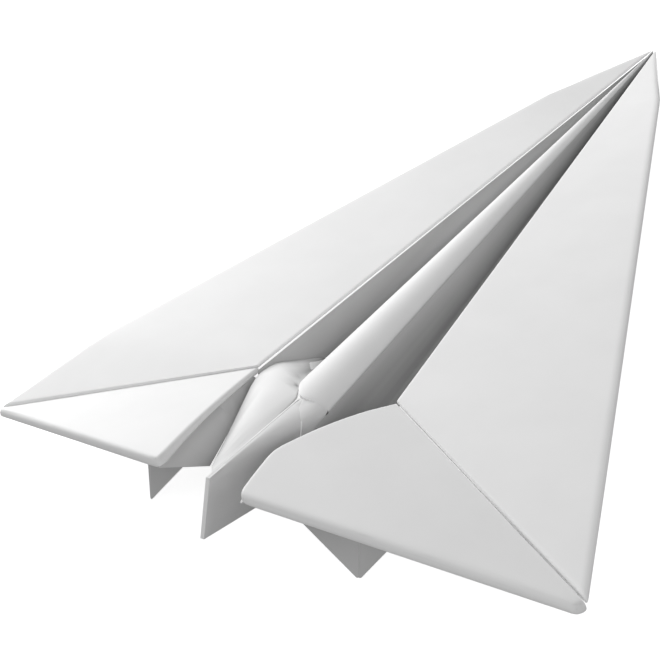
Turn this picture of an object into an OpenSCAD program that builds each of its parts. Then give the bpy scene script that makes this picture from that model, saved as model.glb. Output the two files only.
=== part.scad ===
// Folded paper airplane: a dart with turned-up elevons, a raised spine and two vee fins.
// Built in the fold frame (y to the nose, z out of the wing tops) and then stood on its
// keel and fins with z = 0 on the table.

/* [Overall] */
// nose to the line between the wing tips
plane_len = 285; // [240:5:330]
// wing tip to wing tip
span = 179; // [150:1:210]
// half width between the two wing root folds, at the elevon crease
root_half = 22.5; // [19:0.5:28]
// elevon crease position on the root fold, ahead of the tip line
crease_y = 41.8; // [34:0.2:50]

/* [Paper] */
// puffed thickness of a two-layer wing panel
wing_t = 2.2; // [1.4:0.1:3]
// puffed thickness of the single-layer elevon
elevon_t = 2.6; // [1.6:0.1:3]
// height of a single sheet in the fuselage, measured straight down
sheet_t = 1.2; // [0.8:0.1:1.8]
// one keel sheet
keel_t = 0.6; // [0.4:0.1:1]
// one fin sheet
fin_t = 0.8; // [0.5:0.1:1.2]
// step of the front panel's raw edge above the elevon
raw_step = 0.5; // [0.2:0.1:1]
// open slit left at every moving fold
slit = 0.35; // [0.3:0.05:0.6]

/* [Wing] */
// height of the root fold at the crease
root_rise = 2.6; // [0:0.2:5]
// height of the leading edge where the nose taper starts
lead_rise_front = 3.2; // [0:0.2:5]
// height of the leading edge at the soft bend
lead_rise_rear = 4.4; // [2:0.2:8]
// height of the wing tips
tip_rise = 0.9; // [0:0.1:2]

/* [Tail] */
// rise of the left elevon's inner rear corner
left_lift = 12.6; // [8:0.2:15]
// rise of the right elevon's inner rear corner
right_lift = 10.4; // [8:0.2:15]
// how far the right elevon's inner edge bellies towards the spine
right_belly = 8.2; // [4:0.2:9]
// how far the left one does
left_belly = -1; // [-2:0.5:4]
// distance of the left elevon's inner rear corner from the middle
left_corner = 11.2; // [10:0.2:15]
// distance of the right elevon's inner rear corner from the middle
right_corner = 12.2; // [10:0.2:15]
// depth of the fin points below the tip line
fin_drop = 16.3; // [14:0.1:20]
// height of the keel's ridge at the tail
ridge_rise = 8; // [6:0.2:9]

/* [Fuselage] */
// half width of the spine at the valleys, at the crease
valley_half = 16; // [13:0.5:18]
// depth of the valleys at the crease
valley_drop = 7.5; // [5:0.5:9]
// height of the spine at the crease
spine_rise = 5.2; // [3:0.2:7]

/* [Hidden] */

k = plane_len / 285;               // lengthwise scale of the small tail details
half = span / 2;
nose_gap = 0.65;                   // half width between the wing edges at the nose
nose_w = 0.6;                      // blunt width of each wing at the nose
nose_z = -3.2;                     // underside of the nose
chord = plane_len - crease_y;      // from the crease to the nose along the root
pitch = atan((fin_drop + nose_z) / (plane_len - 1));
corner_y = -7.7 * k;
keel_rear_y = -11.5 * k;
knee_y = 20.6 * k;                 // where the keel's bottom edge turns up to the tail
keel_front_y = 0.93 * plane_len;
keel_gap = 0.3;                    // between the keel and the tail sides behind it
rest_y = (knee_y + keel_gap + keel_front_y) / 2;
lead_front = [0.25 * half, 0.807 * plane_len, lead_rise_front];
lead_rear = [0.8894 * half, 0.1246 * plane_len, lead_rise_rear];
fold_t = 1;                        // thickness left where a panel folds down at the root

function lerp(a, b, t) = a + (b - a) * t;
function flat(g) = [for (r = g) each r];
function ahead(y) = (plane_len - y) / chord;             // 0 at the nose, 1 at the crease
function fade(y) = min(1, 4 * max(0, ahead(y)));         // sheets thin out into the nose
function root_x(y) = lerp(nose_gap, root_half, ahead(y));
function root_z(y) = root_rise * ahead(y);
function wing_thick(y) = lerp(0.9, wing_t, fade(y));
function sheet_thick(y) = lerp(0.7, sheet_t, fade(y));
function valley_x(y) = lerp(0.25, valley_half, ahead(y));
function valley_z(y) = lerp(-2.2, -valley_drop, ahead(y));
function spine_z(y) = spine_rise * ahead(y);
function soft(l) = (l + sqrt(l * l + 0.04)) / 2;
function flank(q) = (soft(1.32 * abs(q) - 0.32) - soft(-0.32)) / (soft(1) - soft(-0.32));
function dome_z(q, y) = lerp(spine_z(y), valley_z(y), flank(q));
function dome(q, y) = [q * valley_x(y), y, dome_z(q, y)];
function ground_z(y) = -fin_drop + (fin_drop + nose_z) * (y - 1) / (plane_len - 1);
function arc(v) = sin(180 * v);
// outer end of the elevon crease; the left one was folded a little further back
function tip(left) = [half - 1.2, (left ? 1.4 : 3.6) * k, tip_rise - (left ? 0.4 : 0)];

// Closed slab between two grids of points, the first one facing outwards.
module skin(g, under) {
    rows = len(g);
    cols = len(g[0]);
    n = rows * cols;
    top = flat(g);
    low = flat(under);
    function id(r, c) = r * cols + c;
    faces = [
        for (r = [0 : rows - 2]) for (c = [0 : cols - 2]) each [
            [id(r, c), id(r + 1, c), id(r + 1, c + 1)],
            [id(r, c), id(r + 1, c + 1), id(r, c + 1)],
            [n + id(r, c), n + id(r + 1, c + 1), n + id(r + 1, c)],
            [n + id(r, c), n + id(r, c + 1), n + id(r + 1, c + 1)]],
        for (r = [0 : rows - 2]) each [
            [id(r + 1, 0), id(r, 0), n + id(r, 0)],
            [id(r + 1, 0), n + id(r, 0), n + id(r + 1, 0)],
            [id(r, cols - 1), id(r + 1, cols - 1), n + id(r + 1, cols - 1)],
            [id(r, cols - 1), n + id(r + 1, cols - 1), n + id(r, cols - 1)]],
        for (c = [0 : cols - 2]) each [
            [id(0, c), id(0, c + 1), n + id(0, c + 1)],
            [id(0, c), n + id(0, c + 1), n + id(0, c)],
            [id(rows - 1, c + 1), id(rows - 1, c), n + id(rows - 1, c)],
            [id(rows - 1, c + 1), n + id(rows - 1, c), n + id(rows - 1, c + 1)]]];
    polyhedron(points = concat(top, low), faces = faces, convexity = 6);
}

// The same with the second grid made by moving each row by its own offset.
module slab(g, offs) {
    skin(g, [for (r = [0 : len(g) - 1]) [for (p = g[r]) p + offs[r]]]);
}

// Everything is drawn in the fold frame and stood on the table here, with the origin in
// the middle of the keel's bottom edge.
module stand() {
    rotate([-pitch, 0, 0]) translate([0, -rest_y, -ground_z(rest_y)]) children();
}

module side(left) {
    if (left) mirror([1, 0, 0]) children();
    else children();
}

// ---- wing: four stations between the root fold and the leading edge --------------------
wing_inner = [for (y = [plane_len, lead_front[1], crease_y + 2 * k, crease_y])
              [root_x(y), y, root_z(y)]];
function wing_outer(left) = [[nose_gap + nose_w, plane_len, 0.1], lead_front, lead_rear, tip(left)];
wing_share = [0, 0.3, 0.9, 1];     // stations across the panel, from the leading edge inwards

function wing_depth(y, share) = lerp(wing_thick(y), min(wing_thick(y), fold_t), pow(share, 3));

// A share of the panel's thickness, between depths a (0 = top) and b (1 = underside).
module wing_skin(left, a, b) {
    edge = wing_outer(left);
    g = [for (i = [0 : 3]) [for (t = wing_share) lerp(edge[i], wing_inner[i], t)]];
    function layer(d) = [for (r = g) [for (j = [0 : 3])
                         r[j] - [0, 0, d * wing_depth(r[j][1], wing_share[j])]]];
    skin(layer(a), layer(b));
}

module wing_upper(left) {
    color([0.93, 0.93, 0.92]) stand() side(left) wing_skin(left, 0, 0.5);
}

module wing_lower(left) {
    color([0.88, 0.88, 0.87]) stand() side(left) wing_skin(left, 0.5, 1);
}

// ---- elevon: from the diagonal crease to the trailing edge ------------------------------
crease_in = [root_half, crease_y, root_rise];
function crease_back(left) =                             // square to the crease, to the rear
    let (d = tip(left) - crease_in) [d[1], -d[0], 0] / norm([d[0], d[1]]);

function elevon_front(left, s) =
    lerp(crease_in, tip(left), s) + crease_back(left) * slit - [0, 0, raw_step];
function elevon_rear(left, s) =
    lerp([left ? left_corner : right_corner, corner_y, left ? left_lift : right_lift],
         [half - 2, (left ? -0.6 : 0.4) * k, tip_rise + (left ? 0.2 : 1)], s);
// the right inner edge swells up to a knee and then runs straight to its rear corner
knee_v = 0.62;
function knee(v) = v < knee_v ? sin(90 * pow(v / knee_v, 0.8))
                              : 1 - pow((v - knee_v) / (1 - knee_v), 1.15);
function belly(left, v) = left ? left_belly * arc(pow(v, 1.05)) : right_belly * knee(v);
function elevon_pt(left, s, v) =
    lerp(elevon_front(left, s), elevon_rear(left, s), v)
    - [belly(left, v) * (1 - s) * (1 - s), 0, 0];
function elevon_depth(s, v) = s > 0 ? elevon_t : lerp(fold_t, elevon_t, pow(v, 3));

elevon_s = [1, 0.6, 0.3, 0.12, 0];
elevon_v = [for (i = [0 : 8]) i / 8];

// The front edge leans back underneath, so the elevon can swing down without touching.
module elevon(left) {
    top = [for (v = elevon_v) [for (s = elevon_s) elevon_pt(left, s, v)]];
    low = [for (v = elevon_v) [for (s = elevon_s) elevon_pt(left, s, v)
           + crease_back(left) * elevon_t * 0.6 * (1 - v) - [0, 0, elevon_depth(s, v)]]];
    color([0.91, 0.91, 0.90]) stand() side(left) skin(top, low);
}

// The narrow return wall that hangs from the elevon's inner edge down to the valley.
web_t = 0.8;
web_gap = 0.75;                    // between the web's top edge and the elevon's underside
web_v = [for (i = [0 : 8]) lerp(0.06, 1, i / 8)];

module elevon_web(left) {
    low_front = [left ? 21.3 : 20.6, crease_y - 2.4 * k, left ? -0.2 : -0.8];
    low_rear = left ? [6.6, 2.8 * k, 3.5] : [8.8, -1.5 * k, 5.5];
    g = [for (i = [0 : 8]) [
        elevon_pt(left, 0, web_v[i]) + [web_t / 4, 0, -elevon_depth(0, web_v[i]) - web_gap],
        lerp(low_front, low_rear, i / 8)]];
    color([0.80, 0.80, 0.79]) stand() side(left) slab(g, [for (r = g) [web_t, 0, 0]]);
}

// ---- vee fin under each elevon -----------------------------------------------------------
fin_clear = 0.9;                   // open gap between a fin and the elevon above it
fin_point = [33.6, k, -fin_drop];
fin_heel = [12.8, 1.5 * k, 3.9];   // where the inner face's lower edge meets the elevon's
fin_in = [14.5, 4 * k];
fin_fold = [33, 8.5 * k];
fin_out = [47.5, 19.5 * k];

// Height of the fin's top at x, y: the elevon's plane less its thickness and the gap.
function fin_top(left, p) =
    let (f = elevon_front(left, 0), a = elevon_front(left, 1) - f, c = elevon_rear(left, 0) - f,
         d = a[0] * c[1] - a[1] * c[0])
    [p[0], p[1], f[2] - elevon_t - fin_clear
     + (a[2] * c[1] - a[1] * c[2]) / d * (p[0] - f[0])
     + (a[0] * c[2] - a[2] * c[0]) / d * (p[1] - f[1])];

// inner and outer are the two ends of the sheet's top, with the point below.
module fin_sheet(left, inner, outer, heel) {
    a = fin_top(left, inner);
    b = fin_top(left, outer);
    mid = heel == undef ? lerp(fin_point, a, 0.75) : heel;
    blunt = 0.03;
    g = [[lerp(fin_point, mid, blunt), lerp(fin_point, b, blunt)],
         [mid, lerp(fin_point, b, 0.75)], [a, b]];
    color([0.85, 0.85, 0.84]) stand() side(left) slab(g, [for (r = g) [0, fin_t, 0]]);
}

module fin_inner(left) {
    fin_sheet(left, fin_in, fin_fold, fin_heel);
}

module fin_outer(left) {
    fin_sheet(left, fin_fold, fin_out, undef);
}

// ---- fuselage: valley walls, spine, lap -------------------------------------------------
wall_y = [plane_len, plane_len * 0.93, plane_len * 0.8, plane_len * 0.5, crease_y + 1.2];

module wall(left) {
    g = [for (y = wall_y)
         [[root_x(y), y, root_z(y) - wing_depth(y, 1) - slit], [valley_x(y), y, valley_z(y)]]];
    color([0.78, 0.78, 0.77]) stand() side(left)
        slab(g, [for (y = wall_y) [0, 0, -sheet_thick(y)]]);
}

lap_q = 0.484;                     // where the lap's raw edge lies on the right flank
lap_step = 0.7;
spine_end = 31.4 * k;
cover_q = [for (i = [0 : 14]) lerp(-1, lap_q, i / 14)];
function cover_end(q) = spine_end + (q > 0 ? 3 * q : -19.2 * q + 9.7 * q * q) * k;

module spine_cover() {
    g = [for (s = [0, 0.12, 0.4, 0.7, 1]) [for (i = [14 : -1 : 0])
         dome(cover_q[i], lerp(plane_len, cover_end(cover_q[i]), s))]];
    color([0.95, 0.95, 0.94]) stand()
        slab(g, [for (s = [0, 0.12, 0.4, 0.7, 1])
                 [0, 0, -sheet_thick(lerp(plane_len, spine_end, s))]]);
}

module spine_lap() {
    rear = spine_end - 5 * k;
    ys = [0, 0.12, 0.4, 0.7, 1];
    g = [for (s = ys) let (y = lerp(plane_len, rear, s))
         [for (i = [6 : -1 : 0]) let (q = lerp(lap_q, 1, i / 6))
          dome(q, y) + [0, 0, lap_step * (1 - i / 6) * fade(y)]]];
    color([0.80, 0.80, 0.79]) stand()
        slab(g, [for (s = ys) let (y = lerp(plane_len, rear, s)) [0, 0, -sheet_thick(y)]]);
}

// ---- tail -------------------------------------------------------------------------------
ridge_front = [0, spine_end - 0.1, spine_rise - 0.6];
ridge_rear = [0, -4.1 * k, ridge_rise];
keel_rear = [0, keel_rear_y, -4.9];
keel_knee = [0, knee_y, ground_z(knee_y)];

// Right side of the tail: square to the table at the rear, bellied out under the spine.
// w runs from the rear edge (0) to the spine (1), v from the ridge (0) to the bottom (1).
tail_bulge = 7.2;
function tail_pt(w, v) =
    lerp(lerp(ridge_rear, keel_rear, v), lerp(ridge_front, keel_knee, v), w)
    + [tail_bulge * pow(w, 1.8) * arc(sqrt(v)), 0, 0];

module tail_side_right() {
    n = 12;
    g = [for (i = [0 : n]) [for (j = [0 : n]) tail_pt(i / n, pow(j / n, 2)) + [keel_t, 0, 0]]];
    color([0.84, 0.84, 0.83]) stand() slab(g, [for (r = g) [-keel_t, 0, 0]]);
}

module tail_side_left() {
    g = [[ridge_rear, keel_rear], [ridge_front, keel_knee]];
    color([0.86, 0.86, 0.85]) stand()
        slab(g, [for (r = g) [-keel_t, 0, 0]]);
}

// Left fairing: a soft bump from the ridge and the end of the spine down to the left valley.
fair_t = 0.5;
fair_gap = 0.5;                    // behind the end of the spine cover
fair_lift = fair_t + 0.35;         // above the wall
fair_step = 0.5;                   // how far it lies below the top of the spine cover
function fair_on_cover(q) = dome(q, cover_end(q) - fair_gap) - [0, 0, fair_step];
// f runs down the wall, from the root fold (0) to the valley (1)
function fair_on_wall(f) =
    let (y = crease_y + lerp(2, 19.5, f) * k)
    [-lerp(root_x(y), valley_x(y), f), y,
     lerp(root_z(y) - fold_t - slit, valley_z(y), f) + fair_lift];
fair_in = concat(
    [for (q = [-0.97, -0.8, -0.6, -0.4, -0.25, -0.1]) fair_on_cover(q)],
    [[-keel_t, 31.2 * k, 4.4], [-keel_t, 15 * k, 6], [-keel_t, -2 * k, ridge_rise - 0.2]]);
fair_out = concat(
    [for (f = [1, 0.78, 0.56, 0.36, 0.18]) fair_on_wall(f)],
    [[-21.2, 40.5 * k, 1.5], [-19.6, 35.2 * k, 2.4], [-12.2, 19 * k, 3.4], [-5.6, 2.8 * k, 4.6]]);
fair_bulge = [0, 0.2, 0.5, 0.9, 1.2, 1.4, 1.6, 1.8, 0.5];

module tail_fairing() {
    g = [for (i = [0 : len(fair_in) - 1]) [for (j = [0 : 6])
         lerp(fair_in[i], fair_out[i], j / 6) + [0, 0, fair_bulge[i] * arc(j / 6)]]];
    color([0.92, 0.92, 0.91]) stand()
        slab(g, [for (r = g) [0, 0, -fair_t]]);
}

// Small facet lying on the tail side, between the end of the spine and a slanting crease.
gusset_t = 0.45;
gusset_gap = 0.1;

module gusset() {
    n = 12;
    g = [for (i = [0 : n]) [for (r = [0, 1]) let (v = pow(lerp(0.03, 0.62, i / n), 2))
         tail_pt(1 - r * 0.31 * sqrt(sqrt(v)) * (1 - v / 2), v) + [keel_t + gusset_t + gusset_gap, 0, 0]]];
    color([0.82, 0.82, 0.81]) stand() slab(g, [for (r = g) [-gusset_t, 0, 0]]);
}

// ---- keel ----------------------------------------------------------------------------
keel_y = [knee_y + keel_gap, 0.3 * plane_len, 0.6 * plane_len, keel_front_y];
keel_inset = 0.1;                  // how far past the keel's side the spine is measured
keel_clear = 0.05;                 // open gap under the spine

// The rear edge leans like the front edge of the tail sides.
module keel(left) {
    g = [for (i = [0 : 3]) let (
             y = keel_y[i],
             top_y = i == 0 ? spine_end + keel_gap : y,
             q = min(0.95, (keel_t + keel_inset) / valley_x(top_y)))
         [[0, top_y, dome_z(q, top_y) - sheet_thick(top_y) - keel_clear], [0, y, ground_z(y)]]];
    color([0.86, 0.86, 0.85]) stand() side(left)
        slab([for (i = [len(g) - 1 : -1 : 0]) g[i]], [for (r = g) [keel_t, 0, 0]]);
}

wing_upper(true);  // wing_upper_left
wing_upper(false);  // wing_upper_right
wing_lower(true);  // wing_lower_left
wing_lower(false);  // wing_lower_right
elevon(true);  // elevon_left
elevon(false);  // elevon_right
elevon_web(true);  // elevon_web_left
elevon_web(false);  // elevon_web_right
fin_inner(true);  // fin_inner_left
fin_outer(true);  // fin_outer_left
fin_inner(false);  // fin_inner_right
fin_outer(false);  // fin_outer_right
wall(true);  // wall_left
wall(false);  // wall_right
spine_cover();
spine_lap();
gusset();
tail_fairing();
tail_side_left();
tail_side_right();
keel(true);  // keel_left
keel(false);  // keel_right
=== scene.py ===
"""Folded paper airplane: soft-edged paper panels, spine, keel and fins around the CAD frame.

Every piece starts from the frame's own node: its corners, edges and height are read from the
CAD mesh, so nothing here moves or resizes the plane. Lengths are in metres.
"""
import logging
import math
from dataclasses import dataclass, field
from enum import Enum

import bmesh
import bpy
from mathutils import Matrix, Vector
from mathutils.bvhtree import BVHTree


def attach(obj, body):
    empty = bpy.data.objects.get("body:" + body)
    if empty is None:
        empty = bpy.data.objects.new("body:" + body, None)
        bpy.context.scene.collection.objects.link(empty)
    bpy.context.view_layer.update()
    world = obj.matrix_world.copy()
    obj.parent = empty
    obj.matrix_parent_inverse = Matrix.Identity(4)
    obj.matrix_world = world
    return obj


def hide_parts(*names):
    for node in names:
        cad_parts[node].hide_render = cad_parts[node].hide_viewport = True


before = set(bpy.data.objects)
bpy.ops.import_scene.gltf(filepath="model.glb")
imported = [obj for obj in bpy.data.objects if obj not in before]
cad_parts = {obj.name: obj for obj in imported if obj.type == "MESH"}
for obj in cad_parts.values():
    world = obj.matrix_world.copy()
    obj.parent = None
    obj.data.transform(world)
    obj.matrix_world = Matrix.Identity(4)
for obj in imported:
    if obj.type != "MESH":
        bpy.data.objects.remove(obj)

LOG = logging.getLogger("paper_airplane")
MM = 0.001
WELD = 0.002 * MM                 # CAD corners closer than this are one corner
# painted highlight: the material paints the paper lighter where this edge mark is high
EDGE_MARK = "edge"                # attribute: 1 on a folded or cut edge, 0 on open paper
# painted shade: the material paints the paper darker where this openness is low
OPEN_MARK = "openness"            # attribute: 1 on open paper, 0 deep in a fold
FOLD_GAP = 0.9 * MM               # widest open fold that a sheet is drawn across
END_BAND = 0.8 * MM               # points this near the rearmost one make up a sheet's rear end
CUT_WIDTH = 1.45 * MM             # a strip narrower than this between two sharp edges is cut
CUT_SHARE = 0.8                   # share of a strip's length that its sharp edges run along
EDGE_BAND = 0.8 * MM              # a panel's edge mark fades out over this width
SKIN_TILT = 0.25                  # a panel's faces stand for its top where normals rise past this
POST_RISE = 0.4 * MM              # an edge that joins a panel's two sides climbs at least this
POST_SLOPE = 2.1                  # and runs at most this many times its climb sideways
SAME_SPOT = 0.3 * MM              # a top point and a low one this close in plan face each other
RIM_LIMIT = 0.48                  # share of a panel's width that a rim's grid lines may fill
EDGE_PULL = 0.15 * MM             # keeps the nearest edge's pull finite on the edge itself
FLAT_FOLD = math.radians(12)      # triangles that bend less than this merge into one face
SQUARE_FACE = math.radians(60)    # how far a merged face may be from square
SHARP_RIM = math.radians(50)      # an edge that bends more than this is a rim


class Side(Enum):
    """Which wing a piece belongs to, with the sign of its X."""

    LEFT = -1
    RIGHT = 1

    def node(self, name: str) -> str:
        """Names a piece on this side.

        Args:
            name: The piece's name without its side.
        Returns:
            The name of the CAD node or body.
        """
        return f"{name}_{self.name.lower()}"


# ---- paper ------------------------------------------------------------------------------
@dataclass(frozen=True)
class Paper:
    """One finish of the white sheet: its colour and fibres, with painted shade in its folds and a
    painted highlight along its edges.
    """

    name: str
    slot: str
    shade: float = 0.8
    # share of the colour left deep in a fold, as painted shade
    deep: float = 0.55
    # grey painted on folded and cut edges as a highlight
    edge_shade: float = 0.84
    roughness: float = 0.62
    fibre_bump: float = 0.10
    cloudiness: float = 0.012
    gloss: float = 0.35
    sheen: float = 0.08
    rough_swing: float = 0.06         # how far the fibres move the roughness either way
    fibre_height: float = 0.04 * MM

    def material(self) -> bpy.types.Material:
        """Builds the material once and returns it after that.

        Returns:
            The paper material, with fibre bump, cloudy colour, painted shade in the folds and a
            painted highlight along the edges.
        """
        if self.name in bpy.data.materials:
            return bpy.data.materials[self.name]
        mat = bpy.data.materials.new(self.name)
        mat.use_nodes = True
        nodes, links = mat.node_tree.nodes, mat.node_tree.links
        shader = nodes["Principled BSDF"]
        for socket, value in (("Specular IOR Level", self.gloss), ("Sheen Weight", self.sheen),
                              ("Sheen Roughness", 0.5)):
            shader.inputs[socket].default_value = value
        place = nodes.new("ShaderNodeTexCoord")

        def noise(scale: float, detail: float) -> bpy.types.Node:
            """Adds a noise on the piece's own coordinates.

            Args:
                scale: Features per metre.
                detail: Octaves.
            Returns:
                The noise node.
            """
            texture = nodes.new("ShaderNodeTexNoise")
            texture.inputs["Scale"].default_value = scale
            texture.inputs["Detail"].default_value = detail
            links.new(place.outputs["Object"], texture.inputs["Vector"])
            return texture

        clouds = noise(scale=60, detail=4)
        fibres = noise(scale=900, detail=6)
        tooth = noise(scale=2600, detail=3)
        colour = nodes.new("ShaderNodeValToRGB")
        low, high = self.shade * (1 - self.cloudiness), self.shade * (1 + self.cloudiness)
        for stop, value in zip(colour.color_ramp.elements, (low, high)):
            stop.color = (value, value, value, 1)
        colour.color_ramp.elements[0].position = 0.35
        colour.color_ramp.elements[1].position = 0.65
        links.new(clouds.outputs["Fac"], colour.inputs["Fac"])

        def attribute(mark: str) -> bpy.types.NodeSocket:
            """Reads one of the piece's attributes.

            Args:
                mark: The attribute's name.
            Returns:
                Its value.
            """
            reader = nodes.new("ShaderNodeAttribute")
            reader.attribute_name = mark
            return reader.outputs["Fac"]

        def mix(factor: bpy.types.NodeSocket, grey: float, first: bool,
                other: bpy.types.NodeSocket) -> bpy.types.NodeSocket:
            """Mixes a colour with a plain grey.

            Args:
                factor: How far towards the second colour.
                grey: The grey.
                first: Whether the grey is the first colour.
                other: The other colour.
            Returns:
                The mixed colour.
            """
            blend = nodes.new("ShaderNodeMix")
            blend.data_type = "RGBA"
            blend.inputs["A" if first else "B"].default_value = (grey, grey, grey, 1)
            links.new(factor, blend.inputs["Factor"])
            links.new(other, blend.inputs["B" if first else "A"])
            return blend.outputs["Result"]

        # painted shade: the colour goes towards a darker grey where the openness is low
        shaded = mix(attribute(OPEN_MARK), self.shade * self.deep, True, colour.outputs["Color"])
        # painted highlight: the colour goes towards a lighter grey on folded and cut edges
        highlighted = mix(attribute(EDGE_MARK), self.edge_shade, False, shaded)
        links.new(highlighted, shader.inputs["Base Color"])

        rough = nodes.new("ShaderNodeMapRange")
        rough.inputs["To Min"].default_value = self.roughness - self.rough_swing
        rough.inputs["To Max"].default_value = self.roughness + self.rough_swing
        links.new(fibres.outputs["Fac"], rough.inputs["Value"])
        links.new(rough.outputs["Result"], shader.inputs["Roughness"])

        weave = nodes.new("ShaderNodeMath")
        weave.operation = "ADD"
        links.new(fibres.outputs["Fac"], weave.inputs[0])
        links.new(tooth.outputs["Fac"], weave.inputs[1])
        bump = nodes.new("ShaderNodeBump")
        bump.inputs["Strength"].default_value = self.fibre_bump
        bump.inputs["Distance"].default_value = self.fibre_height
        links.new(weave.outputs["Value"], bump.inputs["Height"])
        links.new(bump.outputs["Normal"], shader.inputs["Normal"])
        return mat


# All four are the same white paper: the face, fold and fin copies get lower shades as painted
# shade, slight on the faces, most on the fold walls and the fins.
OUTER = Paper("soft_paper_outer", "paper_outer", shade=0.88, deep=0.55, edge_shade=0.93)
FACE = Paper("soft_paper_face", "paper_face", shade=0.84, deep=0.2, edge_shade=0.92)
SHADED_FOLD_PAPER = Paper("soft_paper_fold", "paper_fold", shade=0.6, deep=0.15, edge_shade=0.92,
             roughness=0.66)
SHADED_FIN_PAPER = Paper("soft_paper_fin", "paper_fin", shade=0.66, deep=0.5, edge_shade=0.85,
            roughness=0.66)


# ---- reading the frame --------------------------------------------------------------------
def welded(node: str) -> bmesh.types.BMesh:
    """Copies a CAD node's mesh and joins its loose triangles.

    Args:
        node: The CAD node's name.
    Returns:
        A new closed bmesh with outward normals.
    """
    bm = bmesh.new()
    bm.from_mesh(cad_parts[node].data)
    bmesh.ops.remove_doubles(bm, verts=bm.verts, dist=WELD)
    bm.normal_update()
    return bm


class Shelter:
    """Measures how open each spot of the folded plane is to the room around it, for the painted
    shade in its folds.
    """

    def __init__(self, rays: int = 28, reach: float = 24 * MM, lift: float = 0.5 * MM) -> None:
        """Joins all CAD nodes into one search tree.

        Args:
            rays: Directions tried from each spot.
            reach: How far away a surface still shades a spot.
            lift: How far above the surface each ray starts.
        """
        self.reach, self.lift = reach, lift
        whole = bmesh.new()
        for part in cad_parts.values():
            whole.from_mesh(part.data)
        self.tree = BVHTree.FromBMesh(whole)
        whole.free()
        turn = math.pi * (3 - math.sqrt(5))
        self.directions = []
        for i in range(rays):
            out = math.sqrt((i + 0.5) / rays)
            self.directions.append(Vector((out * math.cos(turn * i), out * math.sin(turn * i),
                                           math.sqrt(1 - out * out))))

    def openness(self, spot: Vector, normal: Vector) -> float:
        """Finds the share of a spot's view that is open.

        Args:
            spot: The place.
            normal: The direction that it faces.
        Returns:
            1 in the open, 0 deep in a fold.
        """
        aim = normal.to_track_quat("Z", "Y")
        start = spot + normal * self.lift
        seen = 0.0
        for direction in self.directions:
            ray = aim @ direction
            _, facing, _, distance = self.tree.ray_cast(start, ray, self.reach)
            inside = facing is not None and facing.dot(ray) > 0
            seen += 1.0 if distance is None or inside else distance / self.reach
        return seen / len(self.directions)


SHELTER = Shelter()


def finish_piece(bm: bmesh.types.BMesh, name: str, body: str, paper: Paper,
                 nodes: tuple[str, ...], contrast: float = 1.0) -> bpy.types.Object:
    """Turns a bmesh into a finished piece of the plane, with painted shade that darkens it into
    the folds.

    Args:
        bm: The mesh, in place. It is freed.
        name: The piece's name.
        body: The CAD body that it rides on.
        paper: Its finish.
        nodes: The CAD nodes that it stands for.
        contrast: How fast the painted shade darkens it into a fold.
    Returns:
        The new object.
    """
    mesh = bpy.data.meshes.new(name)
    bm.normal_update()
    # painted shade: the openness of each spot, by which the material darkens the paper
    mark = bm.verts.layers.float.new(OPEN_MARK)
    for vert in bm.verts:
        vert[mark] = SHELTER.openness(vert.co, vert.normal) ** contrast
    for face in bm.faces:
        face.smooth = True
    bm.to_mesh(mesh)
    bm.free()
    piece = bpy.data.objects.new(name, mesh)
    bpy.context.scene.collection.objects.link(piece)
    mesh.materials.append(paper.material())
    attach(piece, body)
    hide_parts(*nodes)
    return piece


# ---- soft-edged panels ----------------------------------------------------------------------
@dataclass(frozen=True)
class Rim:
    """How a panel is rounded along one of its four edges."""

    top: float                    # width over which the upper face curves down
    under: float                  # width over which the lower face curves up
    seat: float = 0.5             # depth where they meet: 0 at the top, 1 at the underside


@dataclass(frozen=True)
class Corner:
    """One corner of a panel, as a direction to look for it in and a rounding radius."""

    towards: tuple[float, float]
    radius: float = 0.0


class EdgeLine:
    """One edge of a panel, from corner to corner, as the CAD's own points."""

    def __init__(self, points: list[Vector], soften: bool = False) -> None:
        """Keeps the points and measures the line.

        Args:
            points: The CAD points in order.
            soften: Whether the line curves smoothly through its points.
        """
        self.points = points
        self.soften = soften
        steps = [(b - a).length for a, b in zip(points, points[1:])]
        self.length = sum(steps)
        self.knots = [sum(steps[:i]) / self.length for i in range(len(points))]
        self.knots[-1] = 1.0

    def at(self, knots: list[float], t: float) -> Vector:
        """Finds the point at a share of the way along.

        Args:
            knots: The share at which each point lies, the same for two opposite edges.
            t: The share, 0 to 1.
        Returns:
            The place.
        """
        last = len(self.points) - 1
        i = max(0, min(last - 1, sum(1 for k in knots[1:last] if k <= t)))
        f = (t - knots[i]) / (knots[i + 1] - knots[i])
        a, b = self.points[i], self.points[i + 1]
        if not self.soften:
            return a.lerp(b, f)
        before = self.points[max(0, i - 1)]
        after = self.points[min(last, i + 2)]
        out, into = (b - before) / 2, (after - a) / 2
        return (a * (2 * f**3 - 3 * f**2 + 1) + out * (f**3 - 2 * f**2 + f)
                + b * (3 * f**2 - 2 * f**3) + into * (f**3 - f**2))


def shared_knots(one: EdgeLine, other: EdgeLine) -> list[float]:
    """Averages the shares of two opposite edges that have the same number of points.

    Args:
        one: An edge of a panel.
        other: The edge opposite.
    Returns:
        The share for each point.
    """
    if len(one.knots) != len(other.knots):
        raise ValueError("opposite edges of a panel need the same number of points")
    return [(a + b) / 2 for a, b in zip(one.knots, other.knots)]


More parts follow.
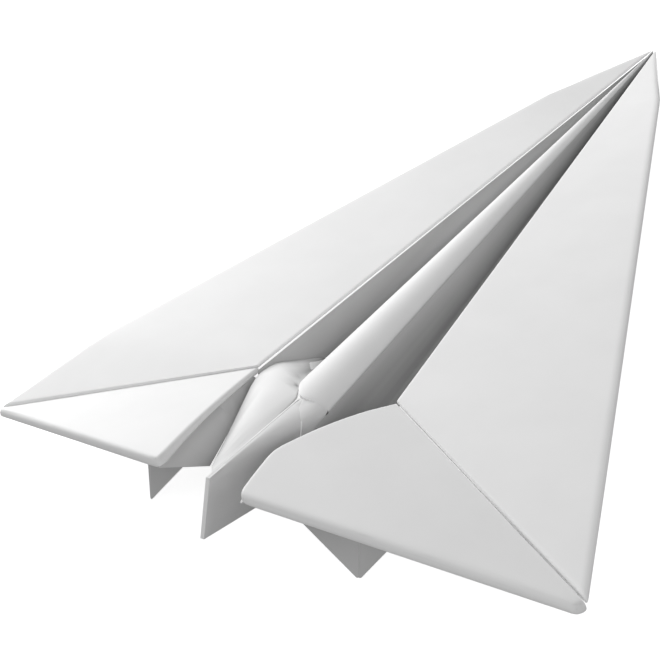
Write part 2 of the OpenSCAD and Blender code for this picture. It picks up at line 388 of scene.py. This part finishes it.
@dataclass
class Panel:
    """A flat folded panel with rounded rims: a grid over the CAD panel's top, and its underside.

    u runs from the outer edge (0) to the inner edge (1), and v from the first end to the last.
    The four corners are given in the order outer first, outer last, inner last, inner first.
    """

    node: str
    corners: tuple[Corner, Corner, Corner, Corner]
    outer: Rim
    inner: Rim
    first: Rim
    last: Rim
    root_share: float = 0.45      # thickness left at the inner edge
    reach: float = 10 * MM        # width over which it thins
    cells_u: int = 16
    cells_v: int = 44
    soften_inner: bool = False
    underside: bool = False       # read the underside of the CAD node and build upwards
    rings: tuple[float, ...] = field(
        default=tuple(r * MM for r in (0.05, 0.16, 0.34, 0.6, 0.95, 1.4, 1.9, 2.5)))

    def skin_edges(self) -> tuple[list[EdgeLine], float]:
        """Reads the CAD node's wanted face, split at its corners into four edges.

        Returns:
            The outer, inner, first and last edges, and the CAD panel's thickness.
        """
        bm = welded(self.node)
        want = -1 if self.underside else 1
        posts = {e for e in bm.edges if self.stands(e.verts[0].co - e.verts[1].co)}
        skin = {f for f in bm.faces
                if f.normal.z * want > SKIN_TILT and not any(e in posts for e in f.edges)}
        ring = [e for e in bm.edges if sum(f in skin for f in e.link_faces) == 1]
        links: dict[bmesh.types.BMVert, list[bmesh.types.BMVert]] = {}
        for e in ring:
            for a, b in (e.verts, reversed(list(e.verts))):
                links.setdefault(a, []).append(b)
        start = next(iter(links))
        loop, before = [start], None
        while True:
            step = next(v for v in links[loop[-1]] if v is not before)
            if step is start:
                break
            before = loop[-1]
            loop.append(step)
        found = []
        for corner in self.corners:
            way = Vector((*corner.towards, 0))
            found.append(max(range(len(loop)), key=lambda i: loop[i].co.dot(way)))
        thick = self.measured_depth(bm, skin, want)
        points = [v.co.copy() for v in loop]
        bm.free()

        def walk(a: int, b: int, others: list[int]) -> list[Vector]:
            """Collects the points between two corners the way that meets no other corner.

            Args:
                a: The first corner.
                b: The second corner.
                others: The two corners to stay clear of.
            Returns:
                The points in order, both corners among them.
            """
            for way in (1, -1):
                path, i = [a], a
                while i != b:
                    i = (i + way) % len(points)
                    path.append(i)
                if not any(o in path for o in others):
                    return [points[j] for j in path]
            raise ValueError(f"{self.node}: corners are out of order")

        of, ol, il, inf = found
        outer, inner = walk(of, ol, [il, inf]), walk(inf, il, [of, ol])
        first, last = walk(of, inf, [ol, il]), walk(ol, il, [of, inf])
        return [EdgeLine(outer), EdgeLine(inner, self.soften_inner),
                EdgeLine(first, self.soften_inner), EdgeLine(last, self.soften_inner)], thick

    @staticmethod
    def stands(step: Vector) -> bool:
        """Tells whether an edge runs from the panel's top down to its underside.

        Args:
            step: From one end of the edge to the other.
        Returns:
            True where it does.
        """
        return abs(step.z) > POST_RISE and step.xy.length < POST_SLOPE * abs(step.z)

    def measured_depth(self, bm: bmesh.types.BMesh, skin: set, want: int) -> float:
        """Measures the CAD panel's thickness near its middle.

        Args:
            bm: The welded CAD mesh.
            skin: The faces of the wanted side.
            want: 1 where that side is the top, -1 where it is the underside.
        Returns:
            The greatest height between the two sides.
        """
        tops = {v for f in skin for v in f.verts}
        lows = [v for v in bm.verts if v not in tops]
        best = 0.0
        for v in tops:
            low = min(lows, key=lambda w: (w.co.xy - v.co.xy).length)
            if (low.co.xy - v.co.xy).length < SAME_SPOT:
                best = max(best, (v.co.z - low.co.z) * want)
        return best

    def build(self) -> bmesh.types.BMesh:
        """Makes the panel.

        Returns:
            A closed bmesh with outward normals.
        """
        (outer, inner, first, last), thick = self.skin_edges()
        along = shared_knots(outer, inner)
        across = shared_knots(first, last)
        corners = [outer.points[0], outer.points[-1], inner.points[-1], inner.points[0]]

        def surface(u: float, v: float) -> Vector:
            """Blends the four edges into the panel's face.

            Args:
                u: Share of the way from the outer edge to the inner edge.
                v: Share of the way from the first end to the last.
            Returns:
                The place.
            """
            sides = outer.at(along, v).lerp(inner.at(along, v), u)
            ends = first.at(across, u).lerp(last.at(across, u), v)
            flat = corners[0].lerp(corners[3], u).lerp(corners[1].lerp(corners[2], u), v)
            return sides + ends - flat

        def stations(length: float, cells: int) -> list[float]:
            """Sets the grid lines of a stretch: close together at both rims, even between.

            Args:
                length: How long the stretch is.
                cells: How many even cells lie between the rims.
            Returns:
                The distance of each line from the stretch's start.
            """
            edge = [min(r, length * RIM_LIMIT * (i + 1) / len(self.rings))
                    for i, r in enumerate(self.rings)]
            lo, hi = edge[-1], length - edge[-1]
            middle = [lo + (hi - lo) * i / cells for i in range(1, cells)]
            return [0.0] + edge + middle + [length - e for e in reversed(edge)] + [length]

        def round_off(a: float, b: float, size_a: float, size_b: float) -> tuple[float, float]:
            """Pulls the grid in at the four corners so that each is round.

            Args:
                a: Distance from the outer edge.
                b: Distance from the first end.
                size_a: The panel's width here.
                size_b: The panel's length.
            Returns:
                The new a and b.
            """
            spots = ((0, 0), (0, 1), (1, 1), (1, 0))
            for corner, (far_a, far_b) in zip(self.corners, spots):
                r = corner.radius
                da = size_a - a if far_a else a
                db = size_b - b if far_b else b
                if r <= 0 or da >= r or db >= r:
                    continue
                p, q = 1 - da / r, 1 - db / r
                da = r * (1 - p * math.sqrt(1 - q * q / 2))
                db = r * (1 - q * math.sqrt(1 - p * p / 2))
                a = size_a - da if far_a else da
                b = size_b - db if far_b else db
            return a, b

        def curve(distance: float, width: float) -> float:
            """Finds the height of a rounded rim.

            Args:
                distance: How far the place is from the edge.
                width: How wide the rim is.
            Returns:
                The height, 0 on the edge and 1 past the rim.
            """
            share = min(1.0, distance / width) if width > 0 else 1.0
            return math.sqrt(max(0.0, 1 - (1 - share) ** 2))

        length = (outer.length + inner.length) / 2
        rows = stations(length, self.cells_v)
        columns = len(stations(1.0, self.cells_u))
        bm = bmesh.new()
        bmesh.ops.create_grid(bm, x_segments=columns - 1, y_segments=len(rows) - 1, size=0.5)
        mark = bm.loops.layers.float.new(EDGE_MARK)
        top_of: dict[bmesh.types.BMVert, tuple[float, float]] = {}
        up = Vector((0, 0, -1 if self.underside else 1))
        for vert in bm.verts:
            i = round((vert.co.x + 0.5) * (columns - 1))
            j = round((vert.co.y + 0.5) * (len(rows) - 1))
            v = rows[j] / length
            width = (outer.at(along, v) - inner.at(along, v)).length
            a = stations(width, self.cells_u)[i]
            long = (first.at(across, a / width) - last.at(across, a / width)).length
            b = v * long
            near = [(a, self.outer), (width - a, self.inner),
                    (b, self.first), (long - b, self.last)]
            top_share = math.prod(curve(d, rim.top) for d, rim in near)
            low_share = math.prod(curve(d, rim.under) for d, rim in near)
            pull = [1 / (d + EDGE_PULL) ** 2 for d, _ in near]
            seat = sum(w * rim.seat for w, (_, rim) in zip(pull, near)) / sum(pull)
            a, b = round_off(a, b, width, long)
            spot = surface(a / width, b / long)
            depth = thick * self.thin(a / width, width, b / long)
            middle = spot - up * depth * seat
            # painted highlight: the edge mark fades in over the last EDGE_BAND before each edge
            for loop in vert.link_loops:
                loop[mark] = max(0.0, 1 - min(d for d, _ in near) / EDGE_BAND)
            top_of[vert] = (middle.z + (spot.z - middle.z) * top_share,
                            middle.z + (spot.z - depth * up.z - middle.z) * low_share)
            vert.co = spot
        low = bmesh.ops.duplicate(bm, geom=bm.verts[:] + bm.edges[:] + bm.faces[:])
        twins = low["vert_map"]
        low_faces = [g for g in low["geom"] if isinstance(g, bmesh.types.BMFace)]
        for vert, (top, under) in top_of.items():
            vert.co.z = top
            twins[vert].co.z = under
        bmesh.ops.reverse_faces(bm, faces=low_faces)
        bmesh.ops.remove_doubles(bm, verts=bm.verts, dist=WELD)
        bmesh.ops.recalc_face_normals(bm, faces=bm.faces)
        return bm

    def thin(self, u: float, width: float, v: float) -> float:
        """Finds how thick the panel is at a place: it thins towards its inner edge.

        Args:
            u: Share of the way from the outer edge to the inner edge.
            width: The panel's width here.
            v: Share of the way from the first end to the last; not used here.
        Returns:
            The share of the full thickness.
        """
        near = max(0.0, 1 - (1 - u) * width / self.reach)
        return 1 - near * (1 - self.root_share)


@dataclass
class ElevonPanel(Panel):
    """The rear panel, which thins only at the front of its folded inner edge."""

    slim: float = 0.94            # leaves room for the fin that swings under it

    def thin(self, u: float, width: float, v: float) -> float:
        """Finds how thick the panel is at a place: full again towards its rear end.

        Args:
            u: Share of the way from the outer edge to the inner edge.
            width: The panel's width here.
            v: Share of the way from the first end to the last.
        Returns:
            The share of the full thickness.
        """
        return self.slim * (1 - (1 - super().thin(u, width, v)) * (1 - v**3))


# ---- the plane's sub-assemblies -----------------------------------------------------------------
@dataclass
class Wing:
    """A front panel: the upper sheet folded over the lower one along the leading edge."""

    side: Side
    lead_rim: float = 2.3 * MM
    crease_rim: float = 0.5 * MM
    root_rim: float = 0.7 * MM
    tip_radius: float = 0.6 * MM

    def corners(self) -> tuple[Corner, Corner, Corner, Corner]:
        """Says where to look for the panel's corners.

        Returns:
            The nose outside, the tip, the crease at the root and the nose inside.
        """
        s = self.side.value
        return (Corner((0.5 * s, 1)), Corner((1 * s, -1), self.tip_radius),
                Corner((-1 * s, -0.6)), Corner((-1 * s, 6)))

    def build(self) -> list[bpy.types.Object]:
        """Makes the upper and the lower sheet.

        Returns:
            The two pieces.
        """
        body, pieces = self.side.node("wing"), []
        root = Rim(self.root_rim, 0, 1)
        for name, paper, underside in (("wing_upper", OUTER, False), ("wing_lower", FACE, True)):
            node = self.side.node(name)
            panel = Panel(node, self.corners(), outer=Rim(self.lead_rim, 0, 1), inner=root,
                          first=root, last=Rim(self.crease_rim, 0, 1), underside=underside)
            pieces.append(finish_piece(panel.build(), f"{node}_sheet", body, paper, (node,)))
        return pieces


@dataclass
class Elevon:
    """The rear panel behind the diagonal crease, with the narrow wall at its inner edge."""

    side: Side
    trail_rim: float = 2.4 * MM
    under_rim: float = 0.8 * MM
    web_rim: float = 0.2 * MM
    inner_rim: float = 1.7 * MM
    inner_under: float = 0.3 * MM
    crease_rim: float = 0.3 * MM
    crease_under: float = 1.3 * MM
    corner_radius: float = 4.0 * MM
    tip_radius: float = 2.2 * MM

    def build(self) -> list[bpy.types.Object]:
        """Makes the panel and its wall.

        Returns:
            The two pieces.
        """
        s = self.side.value
        node, web = self.side.node("elevon"), self.side.node("elevon_web")
        corners = (Corner((1.2 * s, 1)), Corner((0.4 * s, -1), self.tip_radius),
                   Corner((-0.8 * s, -1), self.corner_radius), Corner((-0.5 * s, 1)))
        trail = Rim(self.trail_rim, self.under_rim, 0.8)
        panel = ElevonPanel(
            node, corners, root_share=0.5, outer=trail,
            inner=Rim(self.inner_rim, self.inner_under, 1),
            first=Rim(self.crease_rim, self.crease_under, 0.35),
            last=trail, cells_u=26, cells_v=18, soften_inner=True)
        return [finish_piece(panel.build(), f"{node}_sheet", node, FACE, (node,)),
                Sheet(web, SHADED_FOLD_PAPER, self.web_rim, meets=node).build(node)]


@dataclass
class Sheet:
    """A thin sheet made from its CAD node: merged, softened along its rim and smooth.

    meets is the CAD node that its nearest edge is drawn up to, across the open fold.
    """

    node: str
    paper: Paper
    rim: float
    levels: int = 0
    meets: str = ""
    gap: float = FOLD_GAP
    # how fast the painted shade darkens the sheet into a fold
    contrast: float = 1.0
    reach: float = 0.0            # how far the rear end is drawn on under the next sheet

    def build(self, body: str) -> bpy.types.Object:
        """Makes the sheet.

        Args:
            body: The CAD body that it rides on.
        Returns:
            The new object.
        """
        bm = welded(self.node)
        if self.meets:
            self.close_fold(bm)
        rear = min(vert.co.y for vert in bm.verts) + END_BAND
        for vert in bm.verts:
            if vert.co.y < rear:
                vert.co.y -= self.reach
        bmesh.ops.join_triangles(bm, faces=bm.faces, angle_face_threshold=FLAT_FOLD,
                                 angle_shape_threshold=SQUARE_FACE)
        rims = [e for e in bm.edges if e.calc_face_angle(0) > SHARP_RIM]
        tag = bm.faces.layers.int.new("cut")
        for face in bm.faces:
            long = max(e.calc_length() for e in face.edges)
            sharp = [e for e in face.edges
                     if e in rims and e.calc_length() > CUT_SHARE * long]
            face[tag] = int(len(sharp) > 1 and face.calc_area() < CUT_WIDTH * long)
        bmesh.ops.bevel(bm, geom=rims, offset=self.rim, offset_type="OFFSET", segments=3,
                        profile=0.5, affect="EDGES", clamp_overlap=True, material=-1)
        # painted highlight: narrow cut strips get the edge mark
        mark = bm.loops.layers.float.new(EDGE_MARK)
        tag = bm.faces.layers.int["cut"]
        for face in bm.faces:
            for loop in face.loops:
                loop[mark] = face[tag]
        piece = finish_piece(bm, f"{self.node}_sheet", body, self.paper, (self.node,),
                             self.contrast)
        if self.levels:
            subdivide = piece.modifiers.new("soft_paper", "SUBSURF")
            subdivide.levels = subdivide.render_levels = self.levels
        return piece

    def close_fold(self, bm: bmesh.types.BMesh) -> None:
        """Draws the nearest edge up to the neighbouring node.

        Args:
            bm: The sheet, in place.
        """
        other = welded(self.meets)
        tree = BVHTree.FromBMesh(other)
        other.free()
        for vert in bm.verts:
            spot = tree.find_nearest(vert.co, self.gap)[0]
            if spot is not None:
                vert.co = spot


@dataclass
class VeeFin:
    """The folded fin under a wing: two triangular sheets meeting at a sharp point."""

    side: Side
    rim: float = 0.18 * MM

    def build(self) -> list[bpy.types.Object]:
        """Makes the two sheets.

        Returns:
            The two pieces.
        """
        body = self.side.node("fin")
        return [Sheet(self.side.node(name), SHADED_FIN_PAPER, self.rim).build(body)
                for name in ("fin_inner", "fin_outer")]


@dataclass
class Fuselage:
    """Walls, spine, lap, tail and keel, which all stay with the body of the plane."""

    wall_rim: float = 0.25 * MM
    wall_reach: float = 2.4 * MM
    spine_rim: float = 0.45 * MM
    lap_rim: float = 0.3 * MM
    tail_rim: float = 0.12 * MM
    spine_gap: float = 3.1 * MM
    keel_rim: float = 0.18 * MM
    gusset_rim: float = 0.12 * MM
    fairing_rim: float = 0.15 * MM

    def build(self) -> list[bpy.types.Object]:
        """Makes every sheet of the fuselage.

        Returns:
            The pieces.
        """
        plan = [Sheet("wall_left", SHADED_FOLD_PAPER, self.wall_rim, meets="wing_lower_left", contrast=1.4,
                      reach=self.wall_reach),
                Sheet("wall_right", SHADED_FOLD_PAPER, self.wall_rim, meets="wing_lower_right", contrast=1.4),
                Sheet("spine_cover", OUTER, self.spine_rim, levels=1),
                Sheet("spine_lap", SHADED_FOLD_PAPER, self.lap_rim, contrast=1.6),
                Sheet("gusset", FACE, self.gusset_rim, meets="spine_cover",
                      gap=self.spine_gap),
                Sheet("tail_fairing", FACE, self.fairing_rim, levels=1, contrast=2.5),
                Sheet("tail_side_left", FACE, self.tail_rim),
                Sheet("tail_side_right", FACE, self.tail_rim, meets="spine_cover",
                      gap=self.spine_gap),
                Sheet("keel_left", FACE, self.keel_rim),
                Sheet("keel_right", FACE, self.keel_rim)]
        return [sheet.build("fuselage") for sheet in plan]


# ---- studio --------------------------------------------------------------------------------
@dataclass
class Studio:
    """A white table, soft lamps and the camera behind the right wing."""

    eye: tuple[float, float, float] = (0.1469, -0.2498, 0.1752)
    bearing: float = 43.1
    tilt: float = 34.35
    roll: float = -15.6
    lens: float = 54.46
    sensor: float = 36
    floor_size: float = 12.0
    floor_white: float = 0.8
    floor_glow: float = 0.8
    floor_bounce: float = 0.35
    room: float = 0.5
    lamps: tuple[tuple[str, tuple[float, float, float], float, float], ...] = (
        ("key", (-0.40, 0.10, 0.25), 0.3, 1.75),
        ("fill", (0.50, -0.60, 0.30), 0.4, 0.7),
        ("low", (-0.70, 0.10, 0.05), 0.2, 1.6))

    def camera(self) -> bpy.types.Object:
        """Sets the camera up.

        Returns:
            The camera object.
        """
        data = bpy.data.cameras.new("camera")
        data.lens, data.sensor_width = self.lens, self.sensor
        data.clip_start, data.clip_end = 0.01, 50
        camera = bpy.data.objects.new("camera", data)
        turn = (Matrix.Rotation(math.radians(self.bearing), 4, "Z")
                @ Matrix.Rotation(math.radians(90 - self.tilt), 4, "X")
                @ Matrix.Rotation(math.radians(self.roll), 4, "Z"))
        camera.matrix_world = Matrix.Translation(self.eye) @ turn
        bpy.context.scene.collection.objects.link(camera)
        bpy.context.scene.camera = camera
        return camera

    def floor(self) -> bpy.types.Object:
        """Lays the white table.

        Returns:
            The floor object.
        """
        bm = bmesh.new()
        bmesh.ops.create_grid(bm, x_segments=1, y_segments=1, size=self.floor_size / 2)
        mesh = bpy.data.meshes.new("floor")
        bm.to_mesh(mesh)
        bm.free()
        floor = bpy.data.objects.new("floor", mesh)
        bpy.context.scene.collection.objects.link(floor)
        mat = bpy.data.materials.new("floor_white")
        mat.use_nodes = True
        shader = mat.node_tree.nodes["Principled BSDF"]
        shader.inputs["Roughness"].default_value = 0.9
        shader.inputs["Emission Color"].default_value = (1, 1, 1, 1)
        seen = mat.node_tree.nodes.new("ShaderNodeLightPath").outputs["Is Camera Ray"]
        for socket, bounced, shown in (("Base Color", self.floor_bounce, self.floor_white),
                                       ("Emission Strength", 0.0, self.floor_glow)):
            choice = mat.node_tree.nodes.new("ShaderNodeMapRange")
            choice.inputs["To Min"].default_value = bounced
            choice.inputs["To Max"].default_value = shown
            mat.node_tree.links.new(seen, choice.inputs["Value"])
            mat.node_tree.links.new(choice.outputs["Result"], shader.inputs[socket])
        mesh.materials.append(mat)
        return floor

    def lamp(self, name: str, place: tuple[float, float, float], size: float,
             power: float) -> bpy.types.Object:
        """Hangs a soft square lamp that faces the plane.

        Args:
            name: The lamp's name.
            place: Where it hangs.
            size: Its width.
            power: Its power in watts.
        Returns:
            The lamp object.
        """
        data = bpy.data.lights.new(name, "AREA")
        data.size, data.energy = size, power
        lamp = bpy.data.objects.new(name, data)
        lamp.location = place
        lamp.rotation_euler = Vector(place).to_track_quat("Z", "Y").to_euler()
        bpy.context.scene.collection.objects.link(lamp)
        return lamp

    def world(self) -> None:
        """Fills the room with even white light, shown without tone compression."""
        bpy.context.scene.view_settings.view_transform = "Standard"
        world = bpy.data.worlds.new("room")
        world.use_nodes = True
        background = world.node_tree.nodes["Background"]
        background.inputs["Color"].default_value = (1, 1, 1, 1)
        background.inputs["Strength"].default_value = self.room
        bpy.context.scene.world = world

    def build(self) -> None:
        """Sets up the floor, the lamps, the room and the camera."""
        self.floor()
        for lamp in self.lamps:
            self.lamp(*lamp)
        self.world()
        self.camera()


def main() -> None:
    """Builds the plane piece by piece around the frame, and the studio around the plane."""
    logging.basicConfig(level=logging.INFO, format="%(message)s")
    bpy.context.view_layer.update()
    Studio().build()
    builders = [Fuselage()]
    for side in Side:
        builders += [Wing(side), Elevon(side), VeeFin(side)]
    for builder in builders:
        for piece in builder.build():
            LOG.info("%s: %d faces", piece.name, len(piece.data.polygons))


if __name__ == "__main__":
    main()
